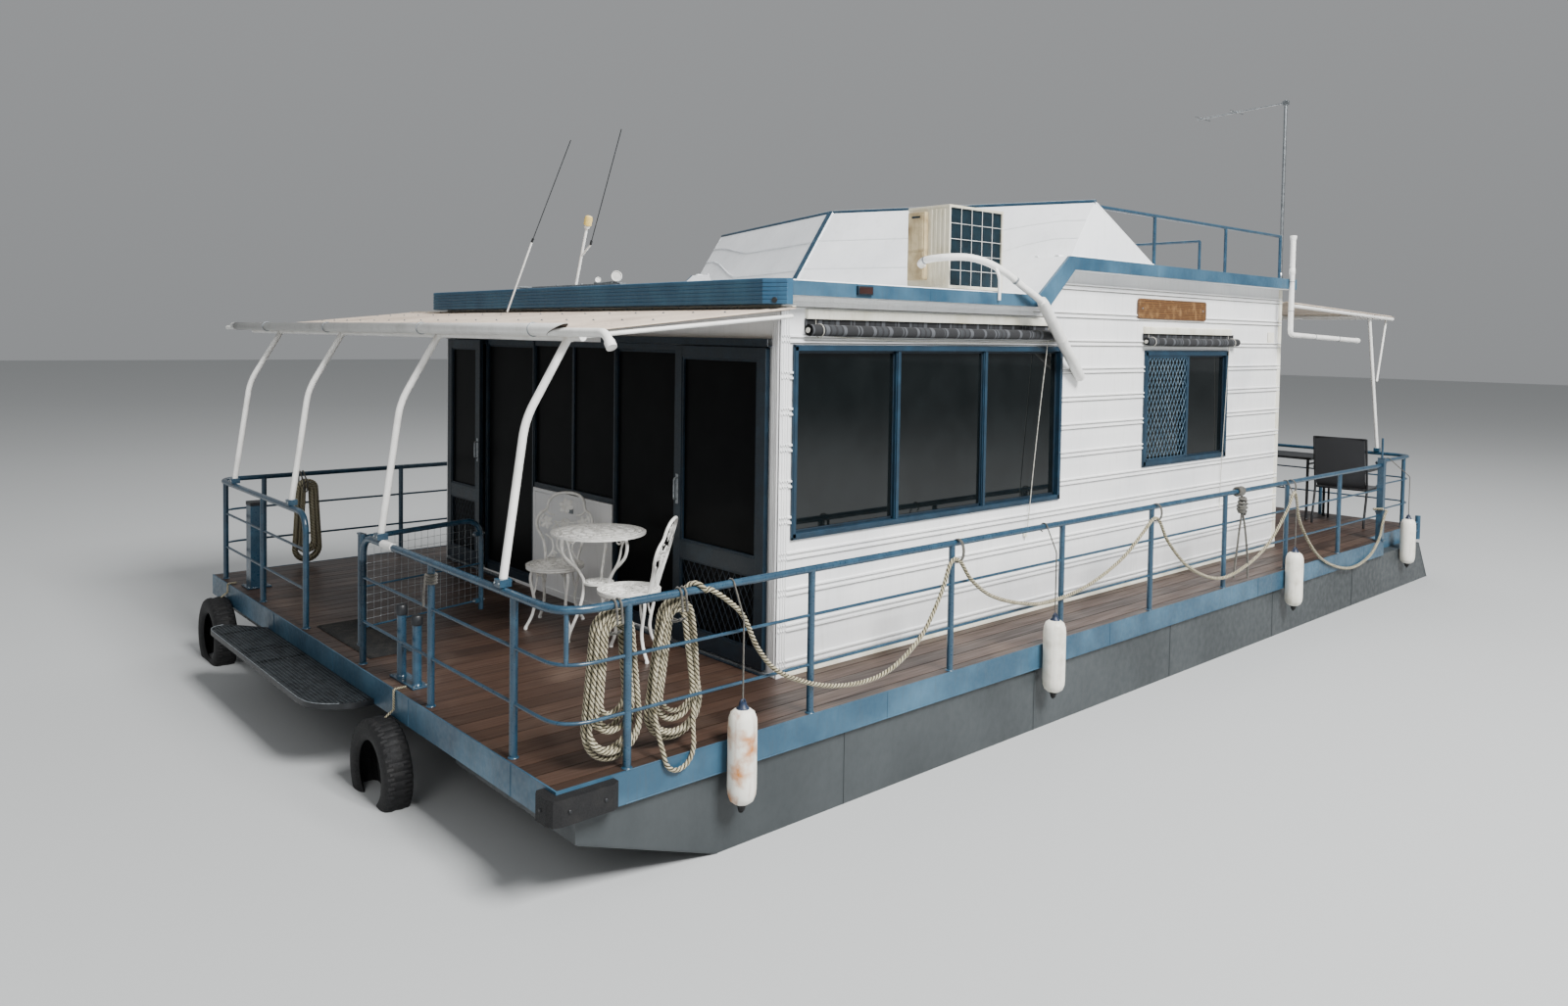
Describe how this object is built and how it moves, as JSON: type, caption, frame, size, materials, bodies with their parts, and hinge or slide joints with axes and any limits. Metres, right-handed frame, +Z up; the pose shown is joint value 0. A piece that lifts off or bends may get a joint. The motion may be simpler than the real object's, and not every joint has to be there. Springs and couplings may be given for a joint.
{
  "type": "houseboat",
  "caption": "Twin-pontoon houseboat with a clad cabin under a stepped roof, railed deck, bow and stern awnings, deck furniture, fenders and a stern outboard",
  "frame": {"origin": "on the deck surface, on the centreline, at the line of the bow rail posts", "axes": "+X to port, +Y aft (the bow faces -Y), +Z up"},
  "size_m": [6.4611, 12.493, 5.42],
  "materials": {
    "hull_grey": "weathered satin paint",
    "fascia_blue": "satin paint",
    "deck_boards": "glossy stained boards",
    "cladding_white": "satin profiled cladding",
    "roof_white": "matt roof coating",
    "window_glass": "dark reflective glass in blue frames",
    "door_blue": "satin paint",
    "blind_fabric": "rolled dark checked cloth",
    "sign_wood": "varnished plank",
    "rail_blue": "gloss paint",
    "awning_tan": "faded corrugated sheet",
    "tube_white": "satin paint",
    "pipe_white": "satin plastic pipe",
    "unit_cream": "weathered enamel",
    "aerial_steel": "satin",
    "fender_white": "soft moulded skin",
    "tyre_rubber": "worn rubber",
    "bumper_rubber": "matt rubber",
    "platform_black": "moulded grating",
    "cast_white": "enamelled castings",
    "sling_black": "woven sling on black tube",
    "table_dark": "dark stained",
    "motor_black": "gloss cowl on satin leg",
    "motor_metal": "cast",
    "rope_tan": "laid three-strand rope"
  },
  "bodies": {
    "boat": {"pontoon_port": "hull_grey", "pontoon_starboard": "hull_grey", "deck_frame": "fascia_blue", "deck_boards": "deck_boards", "wall_port": "cladding_white", "wall_starboard": "cladding_white", "wall_front": "cladding_white", "wall_aft": "cladding_white", "roof_front": "roof_white", "roof_rear": "roof_white", "roof_fascia": "fascia_blue", "windbreak": "roof_white", "window_port_large": "window_glass", "window_port_small": "window_glass", "window_starboard_large": "window_glass", "front_glazing": "window_glass", "blind_large": "blind_fabric", "blind_small": "blind_fabric", "sign_board": "sign_wood", "rail_port": "rail_blue", "rail_starboard": "rail_blue", "roof_rail_port": "rail_blue", "roof_rail_starboard": "rail_blue", "awning_front_sheet": "awning_tan", "awning_front_frame": "tube_white", "gutter": "pipe_white", "awning_aft_sheet": "awning_tan", "awning_aft_frame": "tube_white", "downpipe": "pipe_white", "cooling_unit": "unit_cream", "mast": "aerial_steel", "aerials": "aerial_steel", "fender_1": "fender_white", "fender_2": "fender_white", "fender_3": "fender_white", "fender_4": "fender_white", "tyre_starboard": "tyre_rubber", "tyre_port": "tyre_rubber", "corner_bumper": "bumper_rubber", "boarding_platform": "platform_black", "bollard_pair": "rail_blue", "bollard_post": "rail_blue", "bistro_table": "cast_white", "bistro_chair_1": "cast_white", "bistro_chair_2": "cast_white", "aft_table": "table_dark", "sling_chair_1": "sling_black", "sling_chair_2": "sling_black", "rope_hank_1": "rope_tan", "rope_hank_2": "rope_tan", "rope_hank_3": "rope_tan", "mooring_line": "rope_tan"},
    "bow_gate": {"bow_gate": "rail_blue"},
    "front_door_port": {"front_door_port": "door_blue"},
    "front_door_starboard": {"front_door_starboard": "door_blue"},
    "aft_door": {"aft_door": "door_blue"},
    "outboard_swivel": {"outboard_swivel": "motor_metal"},
    "outboard_leg": {"outboard_leg": "motor_black"},
    "propeller": {"propeller": "motor_metal"}
  },
  "joints": [
    {"name": "gate_swing", "type": "hinge", "parent": "boat", "child": "bow_gate", "pos_m": [0.354, 0, 0.45], "axis": [0, 0, 1], "range_deg": [0, 77]},
    {"name": "front_door_port_slide", "type": "slide", "parent": "boat", "child": "front_door_port", "axis": [-1, 0, 0], "range_m": [0, 0.85]},
    {"name": "front_door_starboard_slide", "type": "slide", "parent": "boat", "child": "front_door_starboard", "axis": [1, 0, 0], "range_m": [0, 0.55]},
    {"name": "aft_door_swing", "type": "hinge", "parent": "boat", "child": "aft_door", "pos_m": [0.414, 8.592, 1], "axis": [0, 0, -1], "range_deg": [0, 100]},
    {"name": "outboard_tilt", "type": "hinge", "parent": "boat", "child": "outboard_swivel", "pos_m": [0, 11.735, -0.085], "axis": [1, 0, 0], "range_deg": [0, 60]},
    {"name": "outboard_steer", "type": "hinge", "parent": "outboard_swivel", "child": "outboard_leg", "pos_m": [0, 11.8, -0.2], "axis": [0, 0, 1], "range_deg": [-35, 35]},
    {"name": "propeller_spin", "type": "hinge", "parent": "outboard_leg", "child": "propeller", "pos_m": [0, 12.04, -0.75], "axis": [0, 1, 0], "continuous": true}
  ]
}
